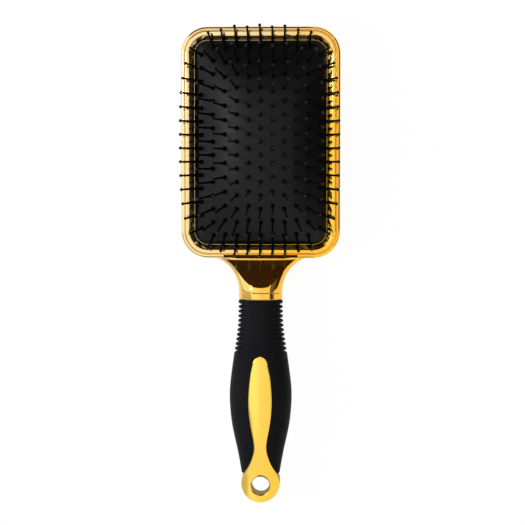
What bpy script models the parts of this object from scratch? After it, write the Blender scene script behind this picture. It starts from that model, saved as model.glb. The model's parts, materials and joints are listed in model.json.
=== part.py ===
"""Paddle hair brush: a plated head with an air cushion of ball-tipped pins, on a rubber-gripped handle.

Metres, +Z up. The brush lies on its back with the pins up. The origin is the middle of the flat back of the
head, +Y points to the head's free end and the handle runs towards -Y.
"""

import math

import bmesh
import bpy
from mathutils import Vector

# Clearance between pieces that touch, and how far a cutter runs past what it cuts.
GAP = 0.0003
OVERRUN = 0.004

# Paddle head: outer size, the flat it rests on, the side that curves up from it, and the rim.
HEAD_WIDTH = 0.0838
HEAD_LENGTH = 0.1213
HEAD_CORNER = 0.0142
HEAD_DEPTH = 0.0136
BACK_CURVE = 0.0100
SIDE_RISE = 0.0085
RIM_ROUND = 0.0012
RIM_LIP = 0.0020
BACK_WALL = 0.0024
SEAT_HEIGHT = 0.0080
SEAT_WIDTH = 0.0062

# Front bezel: the polished frame that clamps the cushion's flange on the seat.
BEZEL_PROUD = 0.0005
BEZEL_CREST = 0.0013
BEZEL_EDGE = 0.0005
BEZEL_WALL_WIDTH = 0.0029
BEZEL_WALL_DROP = 0.0025
BEZEL_TOE = 0.0004
BEZEL_FOOT = 0.0030

# Air cushion: a crowned rubber skin with a clamped flange.
CUSHION_CROWN = 0.0087
CUSHION_SKIN = 0.0020
FLANGE_THICK = 0.0010
CROWN_POWER_ACROSS = 2.5
CROWN_POWER_ALONG = 3.4

# Pin strips: one under each column of the field, with its pins standing through the cushion.
# The margins run from the cushion's edge to the outermost pins, for each column from the side to the middle.
PIN_COLUMNS = 11
PINS_IN_ODD_COLUMN = 14
PINS_IN_EVEN_COLUMN = 15
PIN_SIDE_MARGIN = 0.00325
PIN_END_MARGINS = (0.0076, 0.0038, 0.0042, 0.0032, 0.0042, 0.0032)
PIN_LENGTH = 0.0185
PIN_ROOT_RADIUS = 0.00085
PIN_NECK_RADIUS = 0.00050
PIN_BALL_RADIUS = 0.00085
PIN_SPLAY = 1.30
PIN_SIDES = 4
STRIP_WIDTH = 0.0030
STRIP_THICK = 0.0010
STRIP_DROP = 0.0006
STRIP_END = 0.0012
STRIP_STATIONS = 9

# Neck, tang and ferrule that join the head to the handle.
NECK_LENGTH = 0.0180
NECK_HALF_WIDTH = 0.0112
NECK_HALF_DEPTH = 0.0076
NECK_FLARE = 0.0175
NECK_TURN = math.radians(78)
NECK_ROOT_LOW = 0.0014
NECK_ROOT_DROP = 0.0011
NECK_ROOT_FULLNESS = 3.6
NECK_STATIONS = 9
# The scoop in the top of the neck: its height by distance past the head's end.
NECK_SCOOP = (
    (-0.0100, 0.0112),
    (0.0010, 0.0113),
    (0.0060, 0.0133),
    (0.0090, 0.0149),
    (0.0105, 0.0160),
    (0.0136, 0.0184),
    (0.0150, 0.0194),
    (0.0162, 0.0225),
)
TANG_WIDTH = 0.0110
TANG_DEPTH = 0.0070
TANG_LENGTH = 0.0280
FERRULE_LENGTH = 0.0036

# Handle: the grip's half width and half depth by distance from its lower end.
GRIP_LENGTH = 0.0928
GRIP_HALF_WIDTHS = (
    (0.0000, 0.0100),
    (0.0108, 0.0119),
    (0.0266, 0.0152),
    (0.0388, 0.0164),
    (0.0478, 0.0162),
    (0.0650, 0.0140),
    (0.0798, 0.0121),
    (0.0928, 0.0117),
)
GRIP_HALF_DEPTHS = (
    (0.0000, 0.0062),
    (0.0148, 0.0090),
    (0.0398, 0.0110),
    (0.0650, 0.0095),
    (0.0928, 0.0084),
)
GRIP_WALL = 0.0028
GRIP_STATIONS = 9
GRIP_FULLNESS = 2.3
SECTION_POINTS = 24

# Ribs on the two sides of the grip's top, fading out towards the front and the back.
RIB_COUNT = 10
RIB_PITCH = 0.00246
RIB_START = 0.0024
RIB_DEPTH = 0.0015
RIB_LAND = 0.00049
RIB_FADE_START = 0.50
RIB_FADE_END = 0.80

# Bright inlay of the handle core that shows through the grip: half widths by distance from the eye's middle.
INLAY_TIP_RADIUS = 0.0044
INLAY_PROUD = 0.0004
INLAY_HALF_WIDTHS = (
    (0.0055, 0.0086),
    (0.0098, 0.0060),
    (0.0148, 0.0041),
    (0.0190, 0.00345),
    (0.0239, 0.00385),
    (0.0303, 0.0051),
    (0.0379, 0.0063),
    (0.0458, 0.0066),
    (0.0571, 0.0057),
    (0.0638, 0.0044),
)
INLAY_STEPS = 14

# Hanging eye at the end of the handle core, below the grip's end.
EYE_BELOW_GRIP = 0.0045
EYE_RADIUS = 0.0102
EYE_HALF_DEPTH = 0.0050
INLAY_SKIN_HALF_WIDTH = 0.0175
HOLE_RADIUS = 0.0055
HOLE_OFFSET = 0.0008
HOLE_SIDES = 24
CORE_END = 0.0060

# Points on each corner arc and along the long and short sides of the head's outline.
CORNER_STEPS = 4
LONG_SIDE_STEPS = 6
SHORT_SIDE_STEPS = 4
RIM_STEPS = 2
LEAST_CORNER = 0.0020
SLOPE_STEP = 0.0002
CREASE_ANGLE = math.radians(35)

GOLD = (0.83, 0.55, 0.13)
BLACK_RUBBER = (0.012, 0.012, 0.013)
BLACK_NYLON = (0.008, 0.008, 0.009)

# Places worked out from the sizes above.
RECESS_INSET = RIM_LIP + SEAT_WIDTH
FRAME_WIDTH = RIM_LIP + GAP + BEZEL_EDGE + BEZEL_CREST + BEZEL_WALL_WIDTH + BEZEL_TOE
FLANGE_INSET = RIM_LIP + GAP + BEZEL_FOOT + GAP
FLANGE_BOTTOM = SEAT_HEIGHT + GAP
FLANGE_TOP = FLANGE_BOTTOM + FLANGE_THICK
BEZEL_TOP = HEAD_DEPTH + BEZEL_PROUD
CUSHION_HALF_WIDTH = HEAD_WIDTH / 2 - FRAME_WIDTH
CUSHION_HALF_LENGTH = HEAD_LENGTH / 2 - FRAME_WIDTH
PIN_COLUMN_PITCH = 2 * (CUSHION_HALF_WIDTH - PIN_SIDE_MARGIN) / (PIN_COLUMNS - 1)
HEAD_END = -HEAD_LENGTH / 2
SEAM = HEAD_END - NECK_LENGTH
GRIP_TOP = SEAM - GAP - FERRULE_LENGTH - GAP
GRIP_END = GRIP_TOP - GRIP_LENGTH
EYE_CENTRE = GRIP_END - EYE_BELOW_GRIP
INLAY_TOP = EYE_CENTRE + INLAY_HALF_WIDTHS[-1][0]
# The handle's fullest part rests on the same surface as the head's back.
HANDLE_HEIGHT = max(depth for _, depth in GRIP_HALF_DEPTHS) + INLAY_PROUD


def material(name, colour, metallic, roughness):
    """A Principled material of one colour."""
    made = bpy.data.materials.new(name)
    made.use_nodes = True
    shader = made.node_tree.nodes["Principled BSDF"]
    shader.inputs["Base Color"].default_value = (*colour, 1.0)
    shader.inputs["Metallic"].default_value = metallic
    shader.inputs["Roughness"].default_value = roughness
    return made


def add_object(name, build, finish=None):
    """A smooth-shaded mesh object, made by a function that fills a bmesh."""
    shape = bmesh.new()
    build(shape)
    bmesh.ops.recalc_face_normals(shape, faces=shape.faces)
    mesh = bpy.data.meshes.new(name)
    shape.to_mesh(mesh)
    shape.free()
    mesh.shade_smooth()
    mesh.set_sharp_from_angle(angle=CREASE_ANGLE)
    made = bpy.data.objects.new(name, mesh)
    bpy.context.scene.collection.objects.link(made)
    if finish:
        mesh.materials.append(finish)
    return made


def helper(made):
    """Marks an object as a cutter or guide, which is no piece of the brush."""
    made.hide_render = True
    made.display_type = "WIRE"
    return made


def combine(target, operation, tool):
    """Joins a helper to the target, cuts it out of it, or keeps what they share."""
    step = target.modifiers.new(f"{operation.lower()} {tool.name}", "BOOLEAN")
    step.operation = operation
    step.solver = "EXACT"
    step.object = helper(tool)


def add_loop(shape, points):
    """A closed loop of new points."""
    return [shape.verts.new(point) for point in points]


def bridge(shape, first, second):
    """Faces between two loops of equal length."""
    for i in range(len(first)):
        j = (i + 1) % len(first)
        shape.faces.new((first[i], first[j], second[j], second[i]))


def skin_rings(shape, rings, closed=False):
    """Faces between rings of equal length, with a cap on each end or, when closed, back to the first ring."""
    loops = [add_loop(shape, ring) for ring in rings]
    for first, second in zip(loops, loops[1:]):
        bridge(shape, first, second)
    if closed:
        bridge(shape, loops[-1], loops[0])
    else:
        shape.faces.new(loops[0])
        shape.faces.new(loops[-1])


def fill_between(shape, outline, holes):
    """A sheet inside an outline, with holes in it."""
    edges = []
    for loop in (outline, *holes):
        for i in range(len(loop)):
            ends = (loop[i - 1], loop[i])
            edges.append(shape.edges.get(ends) or shape.edges.new(ends))
    bmesh.ops.triangle_fill(shape, use_beauty=True, edges=edges, normal=(0, 0, 1))


def along(start, end, steps):
    """The points from start up to, but not at, end."""
    return [start.lerp(end, i / steps) for i in range(steps)]


def head_outline(inset):
    """The head's rounded rectangle, drawn in by an inset, as points in the plane."""
    half = Vector((HEAD_WIDTH / 2 - inset, HEAD_LENGTH / 2 - inset))
    radius = max(HEAD_CORNER - inset, LEAST_CORNER)
    sides = (LONG_SIDE_STEPS, SHORT_SIDE_STEPS, LONG_SIDE_STEPS, SHORT_SIDE_STEPS)
    signs = ((1, 1), (-1, 1), (-1, -1), (1, -1))
    arcs = []
    for corner, (sx, sy) in enumerate(signs):
        centre = Vector((sx * (half.x - radius), sy * (half.y - radius)))
        turns = [math.pi / 2 * (corner + i / CORNER_STEPS) for i in range(CORNER_STEPS + 1)]
        arcs.append([centre + radius * Vector((math.cos(a), math.sin(a))) for a in turns])
    points = []
    for corner, arc in enumerate(arcs):
        points += along(arcs[corner - 1][-1], arc[0], sides[corner])
        points += arc[:-1]
    return points


def head_ring(inset, height):
    """A ring round the head at one height."""
    return [(p.x, p.y, height) for p in head_outline(inset)]


def crown_height(x, y):
    """How far the cushion stands above its flange."""
    across = 1 - min(abs(x) / CUSHION_HALF_WIDTH, 1) ** CROWN_POWER_ACROSS
    lengthways = 1 - min(abs(y) / CUSHION_HALF_LENGTH, 1) ** CROWN_POWER_ALONG
    return CUSHION_CROWN * across * lengthways


def crown_point(x, y):
    """The point on the cushion's top surface."""
    return Vector((x, y, FLANGE_TOP + crown_height(x, y)))


def pin_direction(x, y):
    """The way a pin leans: the cushion's own slope, spread a little more."""
    step = SLOPE_STEP
    slope_x = (crown_height(x + step, y) - crown_height(x - step, y)) / (2 * step)
    slope_y = (crown_height(x, y + step) - crown_height(x, y - step)) / (2 * step)
    return Vector((-PIN_SPLAY * slope_x, -PIN_SPLAY * slope_y, 1)).normalized()


def smooth_value(table, at):
    """A smooth curve through a table of (place, value), read at one place."""
    places = [row[0] for row in table]
    values = [row[1] for row in table]
    if at <= places[0]:
        return values[0]
    if at >= places[-1]:
        return values[-1]
    k = max(i for i in range(len(places) - 1) if places[i] <= at)

    def tangent(i):
        low, high = max(i - 1, 0), min(i + 1, len(places) - 1)
        return (values[high] - values[low]) / (places[high] - places[low])

    span = places[k + 1] - places[k]
    t = (at - places[k]) / span
    rise = values[k + 1] - values[k]
    first = tangent(k) * span
    last = tangent(k + 1) * span
    return values[k] + t * (first + t * (3 * rise - 2 * first - last + t * (first + last - 2 * rise)))


def section(y, half_width, half_depth, height, fullness=GRIP_FULLNESS, groove=0.0):
    """A superellipse across the handle, with a groove that is deepest on its two sides."""
    ring = []
    for i in range(SECTION_POINTS):
        turn = 2 * math.pi * i / SECTION_POINTS
        c, s = math.cos(turn), math.sin(turn)
        reach = (abs(c) ** fullness + abs(s) ** fullness) ** (-1 / fullness)
        fade = (abs(c * reach) - RIB_FADE_START) / (RIB_FADE_END - RIB_FADE_START)
        shrink = 1 - groove * min(max(fade, 0), 1) / half_width
        ring.append((half_width * c * reach * shrink, y, height + half_depth * s * reach * shrink))
    return ring


def box_rings(half_width, half_depth, height, y_start, y_end):
    """A square bar along the handle."""
    corners = ((-1, -1), (1, -1), (1, 1), (-1, 1))
    return [
        [(sx * half_width, y, height + sz * half_depth) for sx, sz in corners]
        for y in (y_start, y_end)
    ]


def add_tang(name, clearance):
    """The square tang of the head, or with a clearance the hole that takes it."""
    rings = box_rings(
        TANG_WIDTH / 2 + clearance,
        TANG_DEPTH / 2 + clearance,
        HANDLE_HEIGHT,
        SEAM + NECK_LENGTH / 4,
        SEAM - TANG_LENGTH - clearance,
    )
    return add_object(name, lambda shape: skin_rings(shape, rings))


def make_head_shell(finish):
    """The paddle: a tray with a curved back, a seat for the cushion, a neck and a tang."""
    rings = []
    for i in range(CORNER_STEPS + 1):
        turn = math.pi / 2 * i / CORNER_STEPS
        inset = BACK_CURVE * (1 - math.sin(turn))
        rings.append(head_ring(inset, SIDE_RISE * (1 - math.cos(turn))))
    for i in range(RIM_STEPS + 1):
        turn = math.pi / 2 * i / RIM_STEPS
        inset = RIM_ROUND * (1 - math.cos(turn))
        rings.append(head_ring(inset, HEAD_DEPTH - RIM_ROUND * (1 - math.sin(turn))))
    recess = (
        head_ring(RECESS_INSET, BACK_WALL),
        head_ring(RECESS_INSET, SEAT_HEIGHT),
        head_ring(RIM_LIP, SEAT_HEIGHT),
        head_ring(RIM_LIP, HEAD_DEPTH + OVERRUN),
    )
    shell = add_object("head_shell", lambda shape: skin_rings(shape, rings), finish)
    combine(shell, "UNION", add_neck())
    combine(shell, "UNION", add_tang("tang_shape", 0.0))
    combine(shell, "DIFFERENCE", add_object("head_recess", lambda shape: skin_rings(shape, recess)))
    return shell


def add_neck():
    """The neck that narrows from the head to the ferrule and rises to the handle's middle line."""
    root_top = HEAD_DEPTH - NECK_ROOT_DROP
    root_height = (root_top + NECK_ROOT_LOW) / 2
    root_half_depth = (root_top - NECK_ROOT_LOW) / 2
    rings = []
    for i in range(NECK_STATIONS + 1):
        turn = NECK_TURN * i / NECK_STATIONS
        sweep = math.sin(turn) / math.sin(NECK_TURN)
        half_width = NECK_HALF_WIDTH + NECK_FLARE * (1 - math.cos(turn))
        ease = sweep * sweep * (3 - 2 * sweep)
        half_depth = NECK_HALF_DEPTH + (root_half_depth - NECK_HALF_DEPTH) * ease
        height = HANDLE_HEIGHT + (root_height - HANDLE_HEIGHT) * ease
        fullness = GRIP_FULLNESS + (NECK_ROOT_FULLNESS - GRIP_FULLNESS) * ease
        rings.append(section(SEAM + NECK_LENGTH * sweep, half_width, half_depth, height, fullness))
    rings.append(section(HEAD_END + BACK_CURVE, half_width, half_depth, height, fullness))
    neck = add_object("neck_shape", lambda shape: skin_rings(shape, rings))
    combine(neck, "DIFFERENCE", add_neck_scoop())
    return neck


def add_neck_scoop():
    """The cutter for the sloping face that the neck's top shows between the head and the ferrule."""
    top = HANDLE_HEIGHT + NECK_HALF_DEPTH + OVERRUN
    profile = [(HEAD_END - past, height) for past, height in NECK_SCOOP]
    profile += [(profile[-1][0], top), (profile[0][0], top)]
    rings = [[(x, y, z) for y, z in profile] for x in (-HEAD_WIDTH / 2, HEAD_WIDTH / 2)]
    return add_object("neck_scoop", lambda shape: skin_rings(shape, rings))


def make_front_bezel(finish):
    """The frame in the head's rim, with a bright crest and a wall that slopes down to the cushion."""
    outer = RIM_LIP + GAP
    crest_start = outer + BEZEL_EDGE
    crest_end = crest_start + BEZEL_CREST
    profile = (
        (outer, SEAT_HEIGHT + GAP),
        (outer, BEZEL_TOP - BEZEL_EDGE),
        (crest_start, BEZEL_TOP),
        (crest_end, BEZEL_TOP),
        (crest_end + BEZEL_EDGE, BEZEL_TOP - BEZEL_EDGE),
        (FRAME_WIDTH - BEZEL_TOE, BEZEL_TOP - BEZEL_WALL_DROP),
        (FRAME_WIDTH, BEZEL_TOP - BEZEL_WALL_DROP),
        (FRAME_WIDTH, FLANGE_TOP + GAP),
        (FLANGE_INSET - GAP, FLANGE_TOP + GAP),
        (FLANGE_INSET - GAP, SEAT_HEIGHT + GAP),
    )
    rings = [head_ring(inset, height) for inset, height in profile]
    return add_object("front_bezel", lambda shape: skin_rings(shape, rings, closed=True), finish)


def make_cushion_pad(finish, columns):
    """The crowned rubber skin, clamped by its flange and slotted for the pin strips."""

    def build(shape):
        profile = (
            (FRAME_WIDTH, FLANGE_TOP),
            (FLANGE_INSET, FLANGE_TOP),
            (FLANGE_INSET, FLANGE_BOTTOM),
            (RECESS_INSET + GAP, FLANGE_BOTTOM),
        )
        flange = [add_loop(shape, head_ring(inset, height)) for inset, height in profile]
        for first, second in zip(flange, flange[1:]):
            bridge(shape, first, second)
        upper, lower = [], []
        for x, length, _ in columns:
            upper.append(add_loop(shape, slot_points(x, length, 0.0)))
            lower.append(add_loop(shape, slot_points(x, length, CUSHION_SKIN)))
            bridge(shape, upper[-1], lower[-1])
        fill_between(shape, flange[0], upper)
        fill_between(shape, flange[-1], lower)

    return add_object("cushion_pad", build, finish)


def slot_points(x, length, drop):
    """The edge of the slot that one strip's pins stand in, dropped along their lean."""
    reach = length / 2 + PIN_ROOT_RADIUS + 2 * GAP
    right, left = [], []
    for i in range(STRIP_STATIONS):
        y = reach * (2 * i / (STRIP_STATIONS - 1) - 1)
        up = strip_axes(x, y)[0]
        half_width = (PIN_ROOT_RADIUS + GAP) / up.z
        right.append(crown_point(x + half_width, y) - drop * up)
        left.append(crown_point(x - half_width, y) - drop * up)
    return right + left[::-1]


def strip_axes(x, y):
    """The pins' lean seen along the strip, and the direction across it."""
    lean = pin_direction(x, y)
    up = Vector((lean.x, 0, lean.z)).normalized()
    return up, Vector((up.z, 0, -up.x))


def pin_columns():
    """Each column's place across the head, the length its pins span, and how many it has."""
    columns = []
    for i in range(PIN_COLUMNS):
        x = (i - (PIN_COLUMNS - 1) / 2) * PIN_COLUMN_PITCH
        from_side = min(i, PIN_COLUMNS - 1 - i)
        length = 2 * (CUSHION_HALF_LENGTH - PIN_END_MARGINS[from_side])
        columns.append((x, length, PINS_IN_EVEN_COLUMN if i % 2 else PINS_IN_ODD_COLUMN))
    return columns


def pin_rings(x, y):
    """One pin: a square root in the strip, a tapered stem and a ball tip."""
    lean = pin_direction(x, y)
    side = lean.cross(Vector((0, 1, 0))).normalized()
    front = lean.cross(side)
    root = CUSHION_SKIN + STRIP_DROP + STRIP_THICK / 2
    stations = (
        (-root, PIN_ROOT_RADIUS),
        (PIN_LENGTH - 2 * PIN_BALL_RADIUS, PIN_NECK_RADIUS),
        (PIN_LENGTH - PIN_BALL_RADIUS, PIN_BALL_RADIUS),
        (PIN_LENGTH, PIN_NECK_RADIUS),
    )
    foot = crown_point(x, y)
    turns = [2 * math.pi * (i + 0.5) / PIN_SIDES for i in range(PIN_SIDES)]
    around = [math.cos(a) * side + math.sin(a) * front for a in turns]
    return [[foot + reach * lean + radius * out for out in around] for reach, radius in stations]


def make_pin_strip(number, x, length, count, finish):
    """A thin strip under the cushion with a column of pins standing on it."""
    rings = []
    reach = length / 2 + STRIP_END
    for i in range(STRIP_STATIONS):
        y = reach * (2 * i / (STRIP_STATIONS - 1) - 1)
        lean = pin_direction(x, y)
        side = strip_axes(x, y)[1] * STRIP_WIDTH / 2
        top = crown_point(x, y) - (CUSHION_SKIN + STRIP_DROP) * lean
        bottom = top - STRIP_THICK * lean
        rings.append([bottom - side, bottom + side, top + side, top - side])
    strip = add_object(f"pin_strip_{number:02d}", lambda shape: skin_rings(shape, rings), finish)

    def fill(shape):
        for i in range(count):
            skin_rings(shape, pin_rings(x, length * (i / (count - 1) - 0.5)))

    combine(strip, "UNION", add_object(f"pins_{number:02d}", fill))
    return strip


def make_neck_ferrule(finish):
    """The bright ring between the neck and the grip, on the tang."""
    top = SEAM - GAP
    rings = [
        section(y, NECK_HALF_WIDTH, NECK_HALF_DEPTH, HANDLE_HEIGHT) for y in (top, top - FERRULE_LENGTH)
    ]
    ferrule = add_object("neck_ferrule", lambda shape: skin_rings(shape, rings), finish)
    combine(ferrule, "DIFFERENCE", add_tang("ferrule_hole", GAP))
    return ferrule


def grip_size(y, growth):
    """The grip's half width and half depth at one place, grown or shrunk all round."""
    half_width = smooth_value(GRIP_HALF_WIDTHS, y - GRIP_END) + growth
    return half_width, smooth_value(GRIP_HALF_DEPTHS, y - GRIP_END) + growth


def grip_ring(y, growth, groove=0.0):
    """A ring of the grip's form at one place."""
    half_width, half_depth = grip_size(y, growth)
    return section(y, half_width, half_depth, HANDLE_HEIGHT, groove=groove)


def rib_stations():
    """The grip's stations, as (place, groove depth)."""
    stations = [(GRIP_TOP, 0.0)]
    for i in range(RIB_COUNT):
        rib_end = GRIP_TOP - RIB_START - RIB_PITCH * i
        stations.append((rib_end + RIB_LAND / 2, 0.0))
        stations.append((rib_end + (RIB_LAND - RIB_PITCH) / 2, RIB_DEPTH))
    smooth_start = GRIP_TOP - RIB_START - RIB_PITCH * RIB_COUNT
    for i in range(GRIP_STATIONS + 1):
        stations.append((smooth_start + (GRIP_END - smooth_start) * i / GRIP_STATIONS, 0.0))
    return stations


def inlay_outline(clearance):
    """The inlay's outline from above, from its round tip past the waist to the hanging eye."""
    tip_radius = INLAY_TIP_RADIUS + clearance
    right = []
    for i in range(CORNER_STEPS):
        turn = math.pi / 2 * (1 - i / CORNER_STEPS)
        right.append((tip_radius * math.cos(turn), INLAY_TOP + tip_radius * math.sin(turn)))
    first, last = INLAY_HALF_WIDTHS[-1][0], INLAY_HALF_WIDTHS[0][0]
    for i in range(INLAY_STEPS + 1):
        rise = first + (last - first) * i / INLAY_STEPS
        right.append((smooth_value(INLAY_HALF_WIDTHS, rise) + clearance, EYE_CENTRE + rise))
    eye_radius = EYE_RADIUS + clearance
    for i in range(CORNER_STEPS * 2):
        turn = -math.pi / 2 * i / (CORNER_STEPS * 2)
        right.append((eye_radius * math.cos(turn), EYE_CENTRE + eye_radius * math.sin(turn)))
    left = [(-x, y) for x, y in reversed(right[1:])]
    return right + [(0.0, EYE_CENTRE - eye_radius)] + left


def add_inlay_prism(name, clearance):
    """The inlay's outline carried through the whole depth of the handle."""
    reach = max(depth for _, depth in GRIP_HALF_DEPTHS) + OVERRUN
    outline = inlay_outline(clearance)
    rings = [[(x, y, z) for x, y in outline] for z in (HANDLE_HEIGHT - reach, HANDLE_HEIGHT + reach)]
    return add_object(name, lambda shape: skin_rings(shape, rings))


def make_handle_core(finish):
    """The bright core: a bar inside the grip, the inlay on both faces, and the hanging eye."""
    skin = []
    skin_top = INLAY_TOP + INLAY_TIP_RADIUS + OVERRUN
    for i in range(GRIP_STATIONS + 1):
        y = skin_top + (GRIP_END - skin_top) * i / GRIP_STATIONS
        half_depth = grip_size(y, INLAY_PROUD)[1]
        skin.append(section(y, INLAY_SKIN_HALF_WIDTH, half_depth, HANDLE_HEIGHT))
    eye_end = EYE_CENTRE - EYE_RADIUS - OVERRUN
    skin.append(section(eye_end, INLAY_SKIN_HALF_WIDTH, EYE_HALF_DEPTH, HANDLE_HEIGHT))
    core = add_inlay_prism("handle_core", 0.0)
    core.data.materials.append(finish)
    combine(core, "INTERSECT", add_object("inlay_skin", lambda shape: skin_rings(shape, skin)))
    combine(core, "UNION", add_core_bar("core_bar", 0.0))
    combine(core, "DIFFERENCE", add_tang("tang_socket", GAP))
    combine(core, "DIFFERENCE", add_eye_hole())
    return core


def add_core_bar(name, clearance):
    """The bar inside the grip, or with a clearance the space that takes it."""
    growth = clearance - GRIP_WALL
    start = GRIP_TOP + OVERRUN if clearance else GRIP_TOP
    end = GRIP_END + CORE_END - clearance
    rings = []
    for i in range(GRIP_STATIONS + 1):
        rings.append(grip_ring(start + (end - start) * i / GRIP_STATIONS, growth))
    return add_object(name, lambda shape: skin_rings(shape, rings))


def add_eye_hole():
    """The cutter for the hole that the brush hangs by."""
    reach = grip_size(GRIP_END, INLAY_PROUD)[1] + OVERRUN
    centre = EYE_CENTRE - HOLE_OFFSET
    rings = []
    for z in (HANDLE_HEIGHT - reach, HANDLE_HEIGHT + reach):
        turns = [2 * math.pi * i / HOLE_SIDES for i in range(HOLE_SIDES)]
        rings.append([(HOLE_RADIUS * math.cos(a), centre + HOLE_RADIUS * math.sin(a), z) for a in turns])
    return add_object("eye_hole", lambda shape: skin_rings(shape, rings))


def make_grip_sleeve(finish):
    """The rubber sleeve: ribbed sides, open at its top and cut out round the inlay on both faces."""
    rings = [grip_ring(y, 0.0, groove) for y, groove in rib_stations()]
    sleeve = add_object("grip_sleeve", lambda shape: skin_rings(shape, rings), finish)
    combine(sleeve, "DIFFERENCE", add_core_bar("bar_space", GAP))
    combine(sleeve, "DIFFERENCE", add_inlay_prism("inlay_space", GAP))
    return sleeve


def main():
    """Builds the brush from its head to its handle."""
    for old in list(bpy.data.objects):
        bpy.data.objects.remove(old)
    gold = material("gold plate", GOLD, 1.0, 0.12)
    rubber = material("black rubber", BLACK_RUBBER, 0.0, 0.55)
    nylon = material("black nylon", BLACK_NYLON, 0.0, 0.30)
    columns = pin_columns()
    brush = bpy.data.objects.new("brush", None)
    pin_bed = bpy.data.objects.new("pin_bed_slide", None)
    for empty in (brush, pin_bed):
        bpy.context.scene.collection.objects.link(empty)
    fixed = [
        make_head_shell(gold),
        make_front_bezel(gold),
        make_cushion_pad(rubber, columns),
        make_neck_ferrule(gold),
        make_handle_core(gold),
        make_grip_sleeve(rubber),
    ]
    for piece in fixed:
        piece.parent = brush
    pin_bed.parent = brush
    for number, (x, length, count) in enumerate(columns, 1):
        make_pin_strip(number, x, length, count, nylon).parent = pin_bed


main()
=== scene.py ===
"""Looks of the paddle hair brush: plated head, air cushion with ball-tipped pins, and rubber-gripped handle.

Metres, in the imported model's frame: the brush lies on its back, +Z runs up through the pins and +Y to
the free end of the head.
"""

import json
import logging
import math
from dataclasses import dataclass
from enum import Enum
from typing import Sequence

import bmesh
import bpy
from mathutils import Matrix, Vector

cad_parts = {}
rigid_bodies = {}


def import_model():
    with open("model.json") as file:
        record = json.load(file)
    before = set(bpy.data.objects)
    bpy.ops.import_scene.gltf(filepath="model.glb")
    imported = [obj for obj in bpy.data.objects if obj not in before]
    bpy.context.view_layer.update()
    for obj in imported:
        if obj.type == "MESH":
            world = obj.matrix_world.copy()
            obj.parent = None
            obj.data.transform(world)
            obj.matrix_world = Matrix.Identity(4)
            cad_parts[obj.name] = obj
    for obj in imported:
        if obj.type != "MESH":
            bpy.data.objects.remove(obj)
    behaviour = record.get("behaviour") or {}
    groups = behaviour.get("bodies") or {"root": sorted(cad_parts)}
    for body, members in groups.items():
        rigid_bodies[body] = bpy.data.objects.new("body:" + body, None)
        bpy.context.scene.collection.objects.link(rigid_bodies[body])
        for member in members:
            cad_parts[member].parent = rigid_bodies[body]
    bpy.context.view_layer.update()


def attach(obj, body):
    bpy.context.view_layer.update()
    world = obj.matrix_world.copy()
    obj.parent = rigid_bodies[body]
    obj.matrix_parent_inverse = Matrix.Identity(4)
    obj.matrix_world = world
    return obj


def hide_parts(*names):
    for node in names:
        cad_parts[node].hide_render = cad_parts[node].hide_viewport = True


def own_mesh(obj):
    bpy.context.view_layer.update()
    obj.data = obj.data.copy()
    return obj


LOG = logging.getLogger("paddle_brush")
OVERRUN = 0.004
CREASE = math.radians(28)
SQUARE = ((-1, -1), (1, -1), (1, 1), (-1, 1))
WHITE = (1.0, 1.0, 1.0)

Ring = list[Vector]
Triple = tuple[float, float, float]
Colour = Triple


class Slot(Enum):
    """The record's material slots."""

    GOLD = "gold_plate"
    GRIP = "grip_rubber"
    CUSHION = "cushion_rubber"
    NYLON = "pin_nylon"


class Body(Enum):
    """The bodies that pieces ride on."""

    PADDLE = "paddle"
    PIN_BED = "pin_bed"


class Merge(Enum):
    """The ways in which one closed mesh changes another."""

    JOIN = "UNION"
    REMOVE = "DIFFERENCE"


class Value:
    """A shader socket that takes part in Python arithmetic."""

    def __init__(self, shader: "Shader", socket: bpy.types.NodeSocket) -> None:
        """Wraps an output socket of a shader's tree."""
        self.shader = shader
        self.socket = socket

    def _math(self, operation: str, first: "Value | float", second: "Value | float") -> "Value":
        """The result of a Math node with two values."""
        return self.shader.add("ShaderNodeMath", {"operation": operation}, {0: first, 1: second})

    def __add__(self, other: "Value | float") -> "Value":
        """The sum with another value."""
        return self._math("ADD", self, other)

    __radd__ = __add__

    def __mul__(self, other: "Value | float") -> "Value":
        """The product with another value."""
        return self._math("MULTIPLY", self, other)

    __rmul__ = __mul__

    def or_more(self, other: "Value | float") -> "Value":
        """The larger of this and another value."""
        return self._math("MAXIMUM", self, other)


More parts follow.
